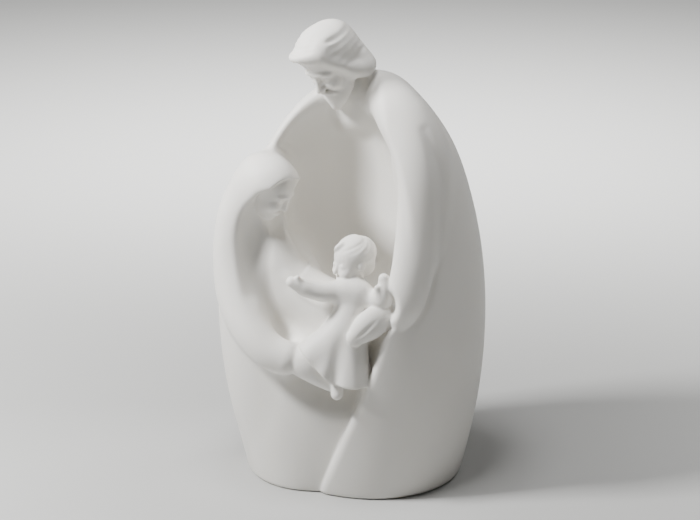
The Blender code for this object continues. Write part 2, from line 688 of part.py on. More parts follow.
whole = statue()
box_low = np.array([-82.0, -72.0, -2.0])
box_high = np.array([84.0, 60.0, 256.0])
points, quads = skin(sample(whole, box_low, box_high, CELL), box_low, CELL)
points = settle(whole, points)
points[np.abs(points[:, 2]) < 0.02, 2] = 0.0
mesh = mesh_from("holy_family_statue", points * np.float32(PART), quads)
group = bpy.data.objects.new("holy_family_statue", mesh)
bpy.context.scene.collection.objects.link(group)
group.data.materials.append(bisque_porcelain())
thin = group.modifiers.new("fewer faces", "DECIMATE")
thin.ratio = KEEP
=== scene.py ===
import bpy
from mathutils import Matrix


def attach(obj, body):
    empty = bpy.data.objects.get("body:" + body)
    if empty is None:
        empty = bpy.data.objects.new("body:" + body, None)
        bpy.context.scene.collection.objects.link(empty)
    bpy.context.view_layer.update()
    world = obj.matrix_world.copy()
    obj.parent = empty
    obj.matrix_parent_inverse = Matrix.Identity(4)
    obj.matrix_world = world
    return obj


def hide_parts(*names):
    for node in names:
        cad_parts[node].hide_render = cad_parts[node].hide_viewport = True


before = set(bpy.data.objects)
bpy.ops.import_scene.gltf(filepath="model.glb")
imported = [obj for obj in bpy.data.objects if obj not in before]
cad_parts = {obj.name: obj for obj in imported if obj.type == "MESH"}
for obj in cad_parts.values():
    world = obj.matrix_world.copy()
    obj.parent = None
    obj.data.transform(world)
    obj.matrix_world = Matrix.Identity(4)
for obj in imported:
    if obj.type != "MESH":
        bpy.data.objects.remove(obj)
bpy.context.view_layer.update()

# Statue of the holy family.
# One hollow slip-cast piece of unglazed white porcelain: the cloaked father, the veiled mother and
# the child come out of one mould, their seams are sponged away, and the piece is fired once.
import math

import bpy
import numpy as np
from mathutils import Vector

# Driving sizes. Every length below them is in parts, and the statue is TALL parts high.
HEIGHT = 0.250
TALL = 252.4
PART = HEIGHT / TALL

# Cloak: centre of the egg, and its reach to the left, right, front, back, below and above
CLOAK_CENTRE = (9, -1, 88)
CLOAK_LEFT, CLOAK_RIGHT = 74, 65
CLOAK_FRONT, CLOAK_BACK = 58, 50
CLOAK_BELOW, CLOAK_ABOVE = 145, 135

# Hollow inside the cloak, above the child
HOLLOW_CENTRE = (-8, -44, 139)
HOLLOW_LEFT, HOLLOW_RIGHT = 53, 43
HOLLOW_DEEP = 58
HOLLOW_BELOW, HOLLOW_ABOVE = 57, 88

# Hollow inside the mother's mantle
LAP_CENTRE = (-34, -50, 122)
LAP_LEFT, LAP_RIGHT = 27, 36
LAP_DEEP, LAP_TALL = 36, 46

# Heads: height from chin to crown, centre, and the nod, turn and lean in degrees
FATHER_HEAD = 35.5
FATHER_AT = (-10, -14, 230.2)
FATHER_TURN = (42, -45, 0)
MOTHER_HEAD = 30.5
MOTHER_AT = (-41.4, -27.4, 166)
MOTHER_TURN = (35, 70, 0)
VEIL_SIZE = 29
VEIL_AT = (-41, -27, 163)
CHILD_HEAD = 24.5
CHILD_AT = (0.5, -38, 129.5)
CHILD_TURN = (5, -58, 0)

# Soft folds down the back: how wide and how deep
FOLD_WIDE = 8
FOLD_DEEP = 2.8


class Patch:
    """A batch of points close together, with the ball around them."""

    def __init__(self, points, middle=None, reach=None):
        self.points = points
        if middle is None:
            low = points.min(0)
            high = points.max(0)
            middle = 0.5 * (low + high)
            reach = 0.5 * float(np.linalg.norm(high - low))
        self.middle = middle
        self.reach = reach

    def near(self, low, high, margin):
        gap = np.maximum(np.maximum(low - self.middle, self.middle - high), 0.0)
        return gap @ gap < (self.reach + margin) ** 2


def soft_min(a, b, blend):
    """The smaller of two distances, with the valley between two forms rounded off."""
    blend = np.maximum(blend, 1e-4)
    near = np.maximum(blend - np.abs(a - b), 0.0)
    return np.minimum(a, b) - near * near / (4.0 * blend)


def turn_matrix(nod=0.0, turn=0.0, lean=0.0):
    """Nods forward about X, leans about Y, then turns about Z, in degrees."""
    a, b, c = (math.radians(v) for v in (nod, lean, turn))
    about_x = np.array([[1, 0, 0], [0, math.cos(a), -math.sin(a)], [0, math.sin(a), math.cos(a)]])
    about_y = np.array([[math.cos(b), 0, math.sin(b)], [0, 1, 0], [-math.sin(b), 0, math.cos(b)]])
    about_z = np.array([[math.cos(c), -math.sin(c), 0], [math.sin(c), math.cos(c), 0], [0, 0, 1]])
    return about_z @ about_y @ about_x


def ball(centre, radii):
    """An egg-shaped mass. A radius given as a pair is the reach towards minus and towards plus."""
    pairs = [r if isinstance(r, tuple) else (r, r) for r in radii]
    low = np.array([p[0] for p in pairs], np.float32)
    high = np.array([p[1] for p in pairs], np.float32)
    centre = np.array(centre, np.float32)

    def distance(patch, margin):
        if not patch.near(centre - low, centre + high, margin):
            return None
        off = patch.points - centre
        radius = np.where(off < 0, low, high)
        share = off / radius
        size = np.sqrt((share * share).sum(1)) + 1e-6
        slope = np.sqrt(((share / radius) ** 2).sum(1)) + 1e-9
        return size * (size - 1.0) / slope

    return distance


def plane(point, normal):
    """The half space on the side that the normal points away from."""
    normal = np.array(normal, float)
    normal = (normal / np.linalg.norm(normal)).astype(np.float32)
    point = np.array(point, np.float32)

    def distance(patch, margin):
        return (patch.points - point) @ normal

    return distance


class Curve:
    """A natural cubic through rows that start with x, y, z, timed by the length of its chords."""

    def __init__(self, rows):
        rows = np.array(rows, float)
        if len(rows) == 2:
            rows = np.array([rows[0], 0.5 * (rows[0] + rows[1]), rows[1]])
        steps = np.linalg.norm(np.diff(rows[:, :3], axis=0), axis=1)
        knots = np.concatenate([[0.0], np.cumsum(steps)])
        count = len(knots)
        matrix = np.zeros((count, count))
        right = np.zeros_like(rows)
        matrix[0, 0] = 1.0
        matrix[-1, -1] = 1.0
        for i in range(1, count - 1):
            a = knots[i] - knots[i - 1]
            b = knots[i + 1] - knots[i]
            matrix[i, i - 1:i + 2] = (a, 2 * (a + b), b)
            right[i] = 6 * ((rows[i + 1] - rows[i]) / b - (rows[i] - rows[i - 1]) / a)
        bend = np.linalg.solve(matrix, right)
        gap = np.diff(knots)[:, None]
        slope = (rows[1:] - rows[:-1]) / gap - gap * (2 * bend[:-1] + bend[1:]) / 6
        self.knots = knots.astype(np.float32)
        self.terms = [
            rows[:-1].astype(np.float32),
            slope.astype(np.float32),
            (bend[:-1] / 2).astype(np.float32),
            ((bend[1:] - bend[:-1]) / (6 * gap)).astype(np.float32),
        ]
        self.times = np.linspace(0.0, knots[-1], 3 * count).astype(np.float32)
        self.places = self.at(self.times)[0][:, :3]

    def at(self, time):
        i = np.clip(np.searchsorted(self.knots, time, side="right") - 1, 0, len(self.terms[0]) - 1)
        s = (time - self.knots[i])[:, None]
        a, b, c, d = (term[i] for term in self.terms)
        return a + s * (b + s * (c + s * d)), b + s * (2 * c + 3 * s * d), 2 * c + 6 * s * d

    def nearest(self, points):
        """The time of the nearest place for each point: the nearest chord first, then two steps."""
        start = self.places[:-1]
        along = self.places[1:] - start
        length = (along * along).sum(1)
        dot = points @ along.T - (start * along).sum(1)
        share = np.clip(dot / length, 0, 1)
        gap = (points * points).sum(1)[:, None] - 2 * (points @ start.T) + (start ** 2).sum(1)
        gap += share * (share * length - 2 * dot)
        i = gap.argmin(1)
        time = self.times[i] + share[np.arange(len(i)), i] * (self.times[1] - self.times[0])
        for _ in range(2):
            place, slope, bend = self.at(time)
            off = place[:, :3] - points
            down = (off * slope[:, :3]).sum(1)
            size = (slope[:, :3] ** 2).sum(1)
            bow = size + (off * bend[:, :3]).sum(1)
            time = np.clip(time - down / np.maximum(bow, 0.3 * size), 0.0, self.knots[-1])
        return time


def roll(rows, flatten=None):
    """A round roll of clay along a smooth curve. Each row is x, y, z and the radius there.
    flatten is a direction and a factor: the roll is that much thinner along the direction."""
    rows = np.array(rows, float)
    low = (rows[:, :3] - rows[:, 3:4]).min(0)
    high = (rows[:, :3] + rows[:, 3:4]).max(0)
    stretch = np.eye(3)
    if flatten is not None:
        along = np.array(flatten[0], float)
        along /= np.linalg.norm(along)
        stretch += (1.0 / flatten[1] - 1.0) * np.outer(along, along)
    curve = Curve(np.hstack([rows[:, :3] @ stretch, rows[:, 3:4]]))
    back = np.linalg.inv(stretch).astype(np.float32)
    stretch = stretch.astype(np.float32)

    def distance(patch, margin):
        if not patch.near(low, high, margin):
            return None
        points = patch.points if flatten is None else patch.points @ stretch
        place = curve.at(curve.nearest(points))[0]
        off = points - place[:, :3]
        gap = np.sqrt((off * off).sum(1))
        if flatten is None:
            return gap - place[:, 3]
        true = off @ back
        short = np.sqrt((true * true).sum(1)) / (gap + 1e-6)
        return (gap - place[:, 3]) * np.clip(short, flatten[1], 1.0)

    return distance


class Clay:
    """Forms put together one after the other. The group is itself a form."""

    def __init__(self):
        self.steps = []

    def add(self, form, blend=0.0):
        self.steps.append(("add", form, blend))

    def cut(self, form, blend=0.0):
        self.steps.append(("cut", form, blend))

    def keep(self, form, blend=0.0):
        self.steps.append(("keep", form, blend))

    def score(self, rows, width, depth, reach=(1, 1, 1)):
        """A soft groove along a curve, or a ridge if the depth is negative. Each row is x, y, z
        and the share of the depth there. A reach above one carries it further along that axis."""
        curve = Curve(rows)
        narrow = 1.0 / np.array(reach, np.float32)
        wide = 2.6 * width * np.array(reach)
        low = curve.places.min(0)
        high = curve.places.max(0)

        def amount(patch, margin):
            if not patch.near(low - wide, high + wide, 0):
                return None
            place = curve.at(curve.nearest(patch.points))[0]
            off = (patch.points - place[:, :3]) * narrow
            return depth * place[:, 3] * np.exp(-(off * off).sum(1) / (width * width))

        self.steps.append(("score", amount, 0.0))

    def __call__(self, patch, margin):
        total = None
        for kind, form, blend in self.steps:
            other = form(patch, margin + (14.0 if callable(blend) else blend))
            if kind == "add" and total is None:
                total = other
                continue
            if other is None:
                if kind == "keep":
                    return None
                continue
            if total is None:
                continue
            if callable(blend):
                blend = blend(patch.points)
            if kind == "add":
                total = soft_min(total, other, blend)
            elif kind == "cut":
                total = -soft_min(-total, other, blend)
            elif kind == "keep":
                total = -soft_min(-total, -other, blend)
            else:
                total = total + other
        return total


def placed(form, centre, turn, size):
    """A form that was made one unit tall about its own middle, turned, sized and put at centre."""
    centre = np.array(centre, float)
    matrix = turn_matrix(*turn) / size

    def distance(patch, margin):
        if not patch.near(centre - 0.9 * size, centre + 0.9 * size, margin):
            return None
        points = (patch.points - centre.astype(np.float32)) @ matrix.astype(np.float32)
        inner = Patch(points, (patch.middle - centre) @ matrix, patch.reach / size)
        found = form(inner, margin / size)
        return None if found is None else found * np.float32(size)

    return distance


def on_head(centre, radii, around, up):
    """A place over an egg-shaped crown: around from the front, up from the level, in degrees."""
    a = math.radians(around)
    e = math.radians(up)
    reach = (math.sin(a) * math.cos(e), -math.cos(a) * math.cos(e), math.sin(e))
    return [c + r * s for c, r, s in zip(centre, radii, reach)]


def lips(head, half, front, full):
    """Two soft rolls across the mouth: half its width, how far forward it lies and how full it is."""
    for z, forward, radius in ((-0.254, front, 0.85 * full), (-0.304, front + 0.017, full)):
        corner = -0.27 if z > -0.28 else -0.286
        head.add(roll([(-half, front + 0.05, corner, 0.4 * full), (0, forward, z, radius),
                       (half, front + 0.05, corner, 0.4 * full)]), 0.03)


def adult_face(nose=1.0):
    """A head that looks along -Y with its eyes cast down: brow, nose, cheeks, lips and chin."""
    h = Clay()
    h.add(ball((0, 0.06, 0.13), (0.345, 0.42, 0.37)))
    h.add(ball((0, -0.10, -0.12), (0.27, 0.25, 0.37)), 0.10)
    h.add(ball((0, -0.22, -0.40), (0.12, 0.11, 0.10)), 0.12)
    for side in (-1, 1):
        h.cut(ball((side * 0.135, -0.42, 0.03), (0.095, 0.10, 0.065)), 0.10)
        h.add(ball((side * 0.13, -0.27, 0.015), (0.08, 0.075, 0.06)), 0.03)
        h.add(ball((side * 0.155, -0.24, -0.13), (0.10, 0.10, 0.09)), 0.08)
        brow = [(0.05, -0.345, 0.115, 0.024), (0.13, -0.345, 0.125, 0.028), (0.23, -0.27, 0.08, 0.02)]
        h.add(roll([(side * x, y, z, r) for x, y, z, r in brow]), 0.06)
        lid = [(0.07, -0.335, -0.015, 0.6), (0.13, -0.36, -0.03, 1), (0.20, -0.31, -0.015, 0.6)]
        h.score([(side * x, y, z, share) for x, y, z, share in lid], 0.016, 0.010)
    tip = -0.365 - 0.07 * nose
    bridge = 0.5 * (tip - 0.335)
    h.add(roll([(0, -0.335, 0.08, 0.035), (0, bridge, -0.03, 0.038), (0, tip, -0.135, 0.047)]), 0.05)
    for side in (-1, 1):
        h.add(ball((side * 0.045, tip + 0.05, -0.15), (0.035, 0.05, 0.03)), 0.03)
    lips(h, 0.10, -0.362, 0.030)
    return h


def father_head():
    """The adult face with a short full beard, a moustache and hair swept back to a rolled edge."""
    h = Clay()
    h.add(adult_face())
    h.add(ball((0, -0.25, -0.42), (0.17, 0.16, 0.16)), 0.05)
    for side in (-1, 1):
        jaw = [(0.30, 0.0, -0.10, 0.05), (0.255, -0.10, -0.30, 0.075),
               (0.14, -0.24, -0.44, 0.08), (0.03, -0.34, -0.56, 0.06)]
        h.add(roll([(side * x, y, z, r) for x, y, z, r in jaw]), 0.09)
        lip = [(0.01, -0.405, -0.215, 0.03), (0.08, -0.37, -0.25, 0.032), (0.14, -0.30, -0.33, 0.015)]
        h.add(roll([(side * x, y, z, r) for x, y, z, r in lip]), 0.03)
    h.add(roll([(0, -0.30, -0.45, 0.09), (0, -0.36, -0.58, 0.05)]), 0.05)
    centre = (0, 0.12, 0.18)
    crown = (0.41, 0.44, 0.39)
    h.add(ball(centre, crown), 0.02)
    h.add(ball((0, 0.30, -0.12), (0.37, 0.26, 0.36)), 0.12)
    # a parting: the forelock rolls over to one side, the rest sweeps back over both ears
    h.add(ball((-0.02, -0.04, 0.37), (0.35, 0.34, 0.25)), 0.08)
    forelock = [(0.17, -0.21, 0.40, 0.05), (0.06, -0.32, 0.46, 0.06), (-0.08, -0.385, 0.50, 0.055),
                (-0.20, -0.35, 0.47, 0.055), (-0.30, -0.23, 0.36, 0.06), (-0.36, -0.09, 0.20, 0.07)]
    h.add(roll(forelock), 0.10)
    for side in (-1, 1):
        sweep = [(0.17, -0.19, 0.40, 0.05), (0.27, -0.17, 0.27, 0.06), (0.335, -0.08, 0.10, 0.08),
                 (0.355, 0.02, -0.09, 0.11), (0.36, 0.15, -0.24, 0.14), (0.31, 0.27, -0.31, 0.16),
                 (0.10, 0.34, -0.34, 0.16)]
        h.add(roll([(side * x, y, z, r) for x, y, z, r in sweep]), 0.10)
    for i in range(4):
        h.score([(0.17, -0.20 + 0.07 * i, 0.50 + 0.03 * i, 0.1),
                 (0.03, -0.31 + 0.08 * i, 0.57 + 0.025 * i, 1),
                 (-0.15, -0.33 + 0.08 * i, 0.54 + 0.03 * i, 1),
                 (-0.31, -0.20 + 0.07 * i, 0.41 + 0.03 * i, 0.6)], 0.035, 0.025)
    for side in (-1, 1):
        for i in range(5):
            wave = []
            for s, share in ((0.0, 0.2), (0.35, 1), (0.7, 1), (1.0, 0.5)):
                around = side * (46 + 5 * i + (100 - 4 * i) * s)
                up = 54 - 15 * i - 30 * s + 5 * math.sin(math.pi * s)
                wave.append((*on_head((0, 0.12, 0.12), (0.45, 0.47, 0.46), around, up), share))
            h.score(wave, 0.045, 0.035)
    return h


def child_head():
    """A rounder, younger head with full cheeks, small ears and short smooth hair."""
    h = Clay()
    h.add(ball((0, 0.07, 0.12), (0.37, 0.42, 0.37)))
    h.add(ball((0, -0.10, -0.14), (0.30, 0.26, 0.33)), 0.12)
    for side in (-1, 1):
        h.cut(ball((side * 0.135, -0.43, 0.0), (0.10, 0.10, 0.07)), 0.10)
        h.add(ball((side * 0.13, -0.275, -0.015), (0.085, 0.08, 0.065)), 0.03)
        h.add(ball((side * 0.16, -0.25, -0.17), (0.115, 0.11, 0.10)), 0.08)
        h.add(ball((side * 0.365, 0.04, -0.03), (0.05, 0.08, 0.11)), 0.03)
    h.add(roll([(0, -0.34, 0.0, 0.03), (0, -0.385, -0.08, 0.035), (0, -0.42, -0.145, 0.045)]), 0.05)
    lips(h, 0.08, -0.368, 0.026)
    h.add(ball((0, -0.26, -0.40), (0.10, 0.10, 0.08)), 0.08)
    centre = (0, 0.14, 0.17)
    crown = (0.415, 0.455, 0.385)
    h.add(ball(centre, crown), 0.01)
    h.add(ball((0, 0.30, -0.12), (0.32, 0.22, 0.27)), 0.08)
    fringe = [(0.02, -0.20, 0.44, 0.05), (-0.05, -0.29, 0.36, 0.05), (-0.12, -0.31, 0.29, 0.02)]
    h.add(roll(fringe), 0.05)
    for side in (-1, 1):
        for i in range(6):
            wave = []
            for s, share in ((0.0, 0.0), (0.35, 1), (0.75, 1), (1.0, 0.3)):
                around = side * (180 - (160 - 27 * i) * s)
                up = 80 - (58 + 7 * i) * s
                wave.append((*on_head(centre, crown, around, up), share))
            h.score(wave, 0.035, 0.022)
    return h


def cloak_edge(patch, margin):
    """The space in front of the mother, left of the slanting edge where the cloak's flap ends."""
    heights = np.array([-20, 3, 22, 37, 48, 62, 75, 88, 101, 115], np.float32)
    across = np.array([-23, -16, -9, -3.5, 0.8, 6.8, 11.4, 16, 19, 22], np.float32)
    x, y, z = patch.points.T
    return np.maximum(0.94 * (x - np.interp(z, heights, across).astype(np.float32)), y + 8)


def shoulder_line(patch, margin):
    """The space to the right of the mother's neck and far shoulder."""
    heights = np.array([100, 110, 117, 121.5, 127, 132, 136, 141.5, 148, 160, 175, 190], np.float32)
    across = np.array([10, -2, -13, -20, -25.5, -29.5, -32, -34, -35.5, -35, -31, -31], np.float32)
    x, y, z = patch.points.T
    return 0.8 * (np.interp(z, heights, across).astype(np.float32) - x)


def far_arm_blend(points):
    """The far arm runs softly into the mantle on the left and stands clear of the cloak."""
    return np.clip(-30 - points[:, 0], 4, 16)


def father_sleeve():
    """The cloak falls from the shoulder over the arm and ends in a pointed cuff."""
    return roll([
        (17, -14, 211, 8), (30, -28, 199, 12), (36, -37, 182, 12.5), (36.5, -42, 160, 12.5),
        (34.5, -47, 136, 12.5), (30.5, -51, 118, 11.5), (27.5, -53, 107, 9.5), (25, -54.5, 96.5, 3),
    ], flatten=((0.35, -0.9, 0.1), 0.7))


def sleeve_blend(points):
    """The sleeve runs softly out of the shoulder and stands crisp above the cuff."""
    return np.clip((points[:, 2] - 120) / 90 * 20, 1.0, 20)


def mother_arm():
    """The mantle's rim goes down from the veil, round the elbow and along the forearm."""
    return roll([
        (-45.5, -18, 168, 14), (-56.5, -21, 154, 11.8), (-61.8, -23, 137, 10), (-62.2, -26, 120, 9.8),
        (-58, -33, 103, 10.5), (-50, -42, 90, 10), (-41, -47, 82.5, 9.4), (-34, -49, 80, 9),
    ])


def veil_opening():
    """The veil is open in front of the face, and hollow a little way behind its edge."""
    o = Clay()
    o.add(ball((0, -0.50, 0.0), (0.60, 0.50, 0.64)))
    o.keep(plane((0, -0.14, 0), (0, 1, 0.25)), 0.02)
    o.add(ball((-0.08, -0.16, 0.10), (0.42, 0.27, 0.43)), 0.10)
    return o


def dress():
    """The child's long dress flares to the left and ends in a hem that rises at that side."""
    d = Clay()
    d.add(roll([
        (1, -44, 115, 7.5), (0.5, -45, 104, 8.5), (0, -47, 92, 9.5),
        (-1, -49, 80, 11), (-1, -51, 66, 12.5), (-1, -52, 50, 14),
    ]))
    d.add(roll([(-2, -46, 99, 6), (-11, -49, 90, 8), (-21, -51, 81, 9), (-30, -52, 73, 9.5)]), 4)
    front = [(-1, -46, 104, 7), (-7, -48.5, 90, 9), (-12, -50.5, 78, 10.5), (-17, -51.5, 66, 11.5)]
    d.add(roll(front), 3)
    d.score([(-4, -57, 96, 0.2), (-7, -61, 84, 1), (-9, -63, 70, 1)], 3, 1.6)
    d.score([(5, -60, 90, 0.2), (7, -61, 76, 1), (8, -62, 64, 1)], 2.6, 1.2)
    d.keep(plane((-17, -60, 76.8), (-1, 0, -0.9)), 1.0)
    d.keep(plane((-1, -62, 67.8), (-0.16, 0.15, -1)), 1.0)
    return d


def child():
    """The child stands with both arms held out, one bare foot below the hem."""
    c = Clay()
    c.add(dress())
    c.add(roll([(-5, -45, 115.5, 6), (-14, -48, 116, 5.2), (-23, -50, 118.5, 4.4)]), 5)
    c.add(roll([(-22, -50, 118.5, 3.6), (-27, -51, 121, 3.6), (-30, -51.5, 122.5, 3.0)]), 1.5)
    c.add(roll([(-26, -52, 121, 1.8), (-27, -52.5, 125, 1.4)]), 1.0)
    c.add(roll([(6, -45, 114, 6), (12, -47, 111.5, 5.4), (17, -50, 113, 5)]), 5)
    raised = [(15.8, -50, 113, 5), (17.6, -51, 117.5, 4.6), (18, -51.3, 121, 4),
              (17.4, -51.5, 124.2, 2.8)]
    c.add(roll(raised), 3)
    c.add(roll([(15, -53.5, 116, 1.9), (13.9, -54.3, 120, 1.5)]), 1.2)
    c.add(roll([(1, -42, 117, 5), (2, -40, 123, 5)]), 3)
    c.add(roll([(-6, -54, 72, 3.4), (-6.8, -56.5, 66, 3.3), (-6.8, -57.5, 63, 3.2)]), 1)
    return c


def mother_hand():
    """The mother's hand comes forward under the child's dress."""
    return roll([(-32, -47, 80, 6), (-25, -50.5, 78.5, 8), (-17, -52, 72.5, 6.5), (-8, -53, 66, 4)])


def father_hand():
    """The father's hand holds the child, with three soft grooves between its fingers."""
    h = Clay()
    back = [(23, -45, 105, 4.5), (16.5, -51.5, 103.5, 7.2), (9.5, -55, 99.5, 7.8), (3, -57, 94, 4.8)]
    h.add(roll(back, flatten=((0.3, -1, 0.1), 0.7)))
    for k in range(3):
        shift = 2.6 * (k - 1)
        h.score([(13 + shift, -59, 103 + shift, 0.2), (7 + shift, -61, 98 + shift, 1),
                 (1 + shift, -62, 92 + shift, 1)], 0.9, 0.6)
    return h


def statue():
    """The whole group, from the big masses down to the hands and heads."""
    s = Clay()
    cloak_reach = ((CLOAK_LEFT, CLOAK_RIGHT), (CLOAK_FRONT, CLOAK_BACK), (CLOAK_BELOW, CLOAK_ABOVE))
    s.add(ball(CLOAK_CENTRE, cloak_reach))
    # the cloak's flap spreads a little where it meets the base
    s.add(ball((14, -6, 60), (50, 50, (140, 80))), 6)
    # fullness over the upper arm, so that the sleeve lies nearly flush with the cloak
    s.add(ball((34, -14, 148), (26, 34, (62, 52))), 8)
    s.cut(cloak_edge, 4)
    # the mother's skirt, pressed in below her lap
    skirt = Clay()
    skirt.add(ball((-5, 0, 85), ((62.5, 60), (51, 44), (150, 90))))
    skirt.add(ball((-24, -8, 60), (31, 34, (140, 80))), 6)
    skirt.cut(ball((-6, -76, 89), (50, 47, 50)), 6)
    s.add(skirt, 1.2)
    hollow_reach = ((HOLLOW_LEFT, HOLLOW_RIGHT), HOLLOW_DEEP, (HOLLOW_BELOW, HOLLOW_ABOVE))
    s.cut(ball(HOLLOW_CENTRE, hollow_reach), 3)
    # the mother's mantle, and the hollow inside it
    mantle = Clay()
    mantle.add(ball((-44, -6, 102), ((27, 26), (34, 40), (87, 76))))
    mantle.cut(shoulder_line, 4)
    s.add(mantle, 8)
    s.cut(ball(LAP_CENTRE, ((LAP_LEFT, LAP_RIGHT), LAP_DEEP, LAP_TALL)), 6)
    s.add(father_sleeve(), sleeve_blend)
    # the mother's neck, her far arm that reaches behind the child, and her lap
    far_arm = [(-43, -17, 158, 6), (-42, -18, 148, 7), (-41, -20, 139, 7.5), (-37.5, -22, 129, 8.5),
               (-31.5, -24, 119, 9.5), (-23, -27, 111, 10), (-14, -30, 106.5, 10), (-4, -32, 103, 10)]
    s.add(roll(far_arm), far_arm_blend)
    s.add(roll([(-46, -14, 118, 8), (-38, -15, 104, 12), (-24, -17, 97, 15), (-10, -24, 86, 19)]), 20)
    s.add(mother_arm(), 9)
    veil = ball((0, 0.10, 0.06), (0.50, (0.62, 0.58), 0.58))
    s.add(placed(veil, VEIL_AT, MOTHER_TURN, VEIL_SIZE), 8)
    s.cut(placed(veil_opening(), VEIL_AT, MOTHER_TURN, VEIL_SIZE), 2)
    s.cut(roll([(-42, -36, 160, 7), (-48, -35, 148, 8.5), (-50, -37, 132, 8), (-48, -43, 116, 7)]), 5)
    s.cut(ball((19, -58, 111), (5, 8, 8)), 3)
    # the crease beside the sleeve, from the shoulder down to the cuff
    crease = ((38, 199, 0.3), (44, 184, 0.8), (46.5, 165, 1), (45.5, 146, 1),
              (41.5, 119, 1), (34, 102, 0.8), (27, 93, 0.2))
    s.score([(x, -36, z, share) for x, z, share in crease], 2.8, 2.0, (1, 6, 1))
    # a thin fold of the mantle under the child's arm
    for lift in (0, 4):
        fold = [(-34, 119, 0.2), (-26, 112, 1), (-14, 106, 1), (-6, 104, 0.6)]
        s.score([(x, -34, z + lift, share) for x, z, share in fold], 1.6, -1.3, (1, 5, 1))
    s.add(father_hand(), 1)
    s.add(mother_hand(), 1)
    s.add(placed(adult_face(0.5), MOTHER_AT, MOTHER_TURN, MOTHER_HEAD), 1)
    s.add(roll([(6, 4, 202, 13), (1, 2, 213, 12), (-4, -2, 224, 10)]), 6)
    s.add(placed(father_head(), FATHER_AT, FATHER_TURN, FATHER_HEAD), 1.5)
    s.add(placed(child_head(), CHILD_AT, CHILD_TURN, CHILD_HEAD), 1)
    s.add(child(), 1)
    # long soft folds down the back
    for x, y in ((-24, 42), (4, 50), (34, 44)):
        fold = [(0.7 * x, y - 4, 196, 0.1), (x, y, 130, 1), (1.1 * x, y, 70, 1),
                (1.2 * x, y - 4, 6, 0.6)]
        s.score(fold, FOLD_WIDE, FOLD_DEEP)
    s.cut(plane((0, 0, 0), (0, 0, 1)), 2)
    return s


def sample(form, low, high, step, block=14):
    """The form's distances on a grid, worked out block by block and only near the skin."""
    far = 50.0
    blocks = np.ceil((high - low) / step / block).astype(int)
    grid = np.full(blocks * block + 1, far, np.float32)
    half = block * step * math.sqrt(3) / 2
    ticks = np.arange(block + 1)
    fine = np.stack(np.meshgrid(ticks, ticks, ticks, indexing="ij"), -1).reshape(-1, 3)
    ticks = np.linspace(0, block, 5)
    coarse = np.stack(np.meshgrid(ticks, ticks, ticks, indexing="ij"), -1).reshape(-1, 3)
    for index in np.ndindex(*blocks):
        first = np.array(index) * block
        middle = low + (first + 0.5 * block) * step
        span = tuple(slice(k, k + block + 1) for k in first)
        found = form(Patch((low + (first + coarse) * step).astype(np.float32), middle, half), half)
        if found is None:
            continue
        if np.abs(found).min() > half * 0.45 + 1.0:
            if found[0] < 0:
                grid[span] = np.minimum(grid[span], -far)
            continue
        found = form(Patch((low + (first + fine) * step).astype(np.float32), middle, half), 2 * step)
        if found is not None:
            grid[span] = found.reshape((block + 1,) * 3)
    return grid


def join_corners(grid):
    """Fills in the grid points between two parts of the clay that touch only at a corner."""
    for _ in range(6):
        for axis in range(3):
            turned = np.moveaxis(grid, axis, 0)
            a = turned[:, :-1, :-1] < 0
            b = turned[:, 1:, :-1] < 0
            c = turned[:, :-1, 1:] < 0
            d = turned[:, 1:, 1:] < 0
            falling = (a & d & ~b & ~c, (1, 0), (0, 1))
            rising = (b & c & ~a & ~d, (0, 0), (1, 1))
            for cross, first, second in (falling, rising):
                for k, i, j in np.argwhere(cross):
                    for di, dj in (first, second):
                        turned[k, i + di, j + dj] = min(turned[k, i + di, j + dj], -0.05)
    return grid


def skin(grid, low, step):
    """Quads of the skin: one point in each cell that it crosses, one quad round each crossed edge."""
    grid = join_corners(grid)
    inside = grid < 0
    shape = np.array(grid.shape) - 1
    corner_steps = [(i & 1, (i >> 1) & 1, (i >> 2) & 1) for i in range(8)]
    filled = np.zeros(shape, np.uint8)
    for a, b, c in corner_steps:
        filled += inside[a:a + shape[0], b:b + shape[1], c:c + shape[2]]
    cells = np.argwhere((filled > 0) & (filled < 8))
    index = np.full(shape, -1, np.int32)
    index[tuple(cells.T)] = np.arange(len(cells))
    corners = [grid[tuple((cells + corner).T)] for corner in corner_steps]
    total = np.zeros((len(cells), 3))
    number = np.zeros((len(cells), 1))
    for i in range(8):
        for axis in range(3):
            if (i >> axis) & 1:
                continue
            a = corners[i]
            b = corners[i | (1 << axis)]
            crossed = (a < 0) != (b < 0)
            place = np.tile(np.array(corner_steps[i], float), (len(cells), 1))
            place[:, axis] += np.where(crossed, a / np.where(crossed, a - b, 1.0), 0.0)
            total += place * crossed[:, None]
            number += crossed[:, None]
    points = low + (cells + total / number) * step
    quads = []
    for axis in range(3):
        u = (axis + 1) % 3
        v = (axis + 2) % 3
        lower = [slice(None)] * 3
        upper = [slice(None)] * 3
        lower[axis] = slice(0, -1)
        upper[axis] = slice(1, None)
        edges = np.argwhere(inside[tuple(lower)] != inside[tuple(upper)])
        starts_in = inside[tuple(edges.T)]
        ring = []
        for du, dv in ((-1, -1), (0, -1), (0, 0), (-1, 0)):
            cell = edges.copy()
            cell[:, u] += du
            cell[:, v] += dv
            ring.append(index[tuple(cell.T)])
        ring = np.stack(ring, 1)
        ring[~starts_in] = ring[~starts_in][:, ::-1]
        quads.append(ring)
    return points.astype(np.float32), np.concatenate(quads).astype(np.int32)


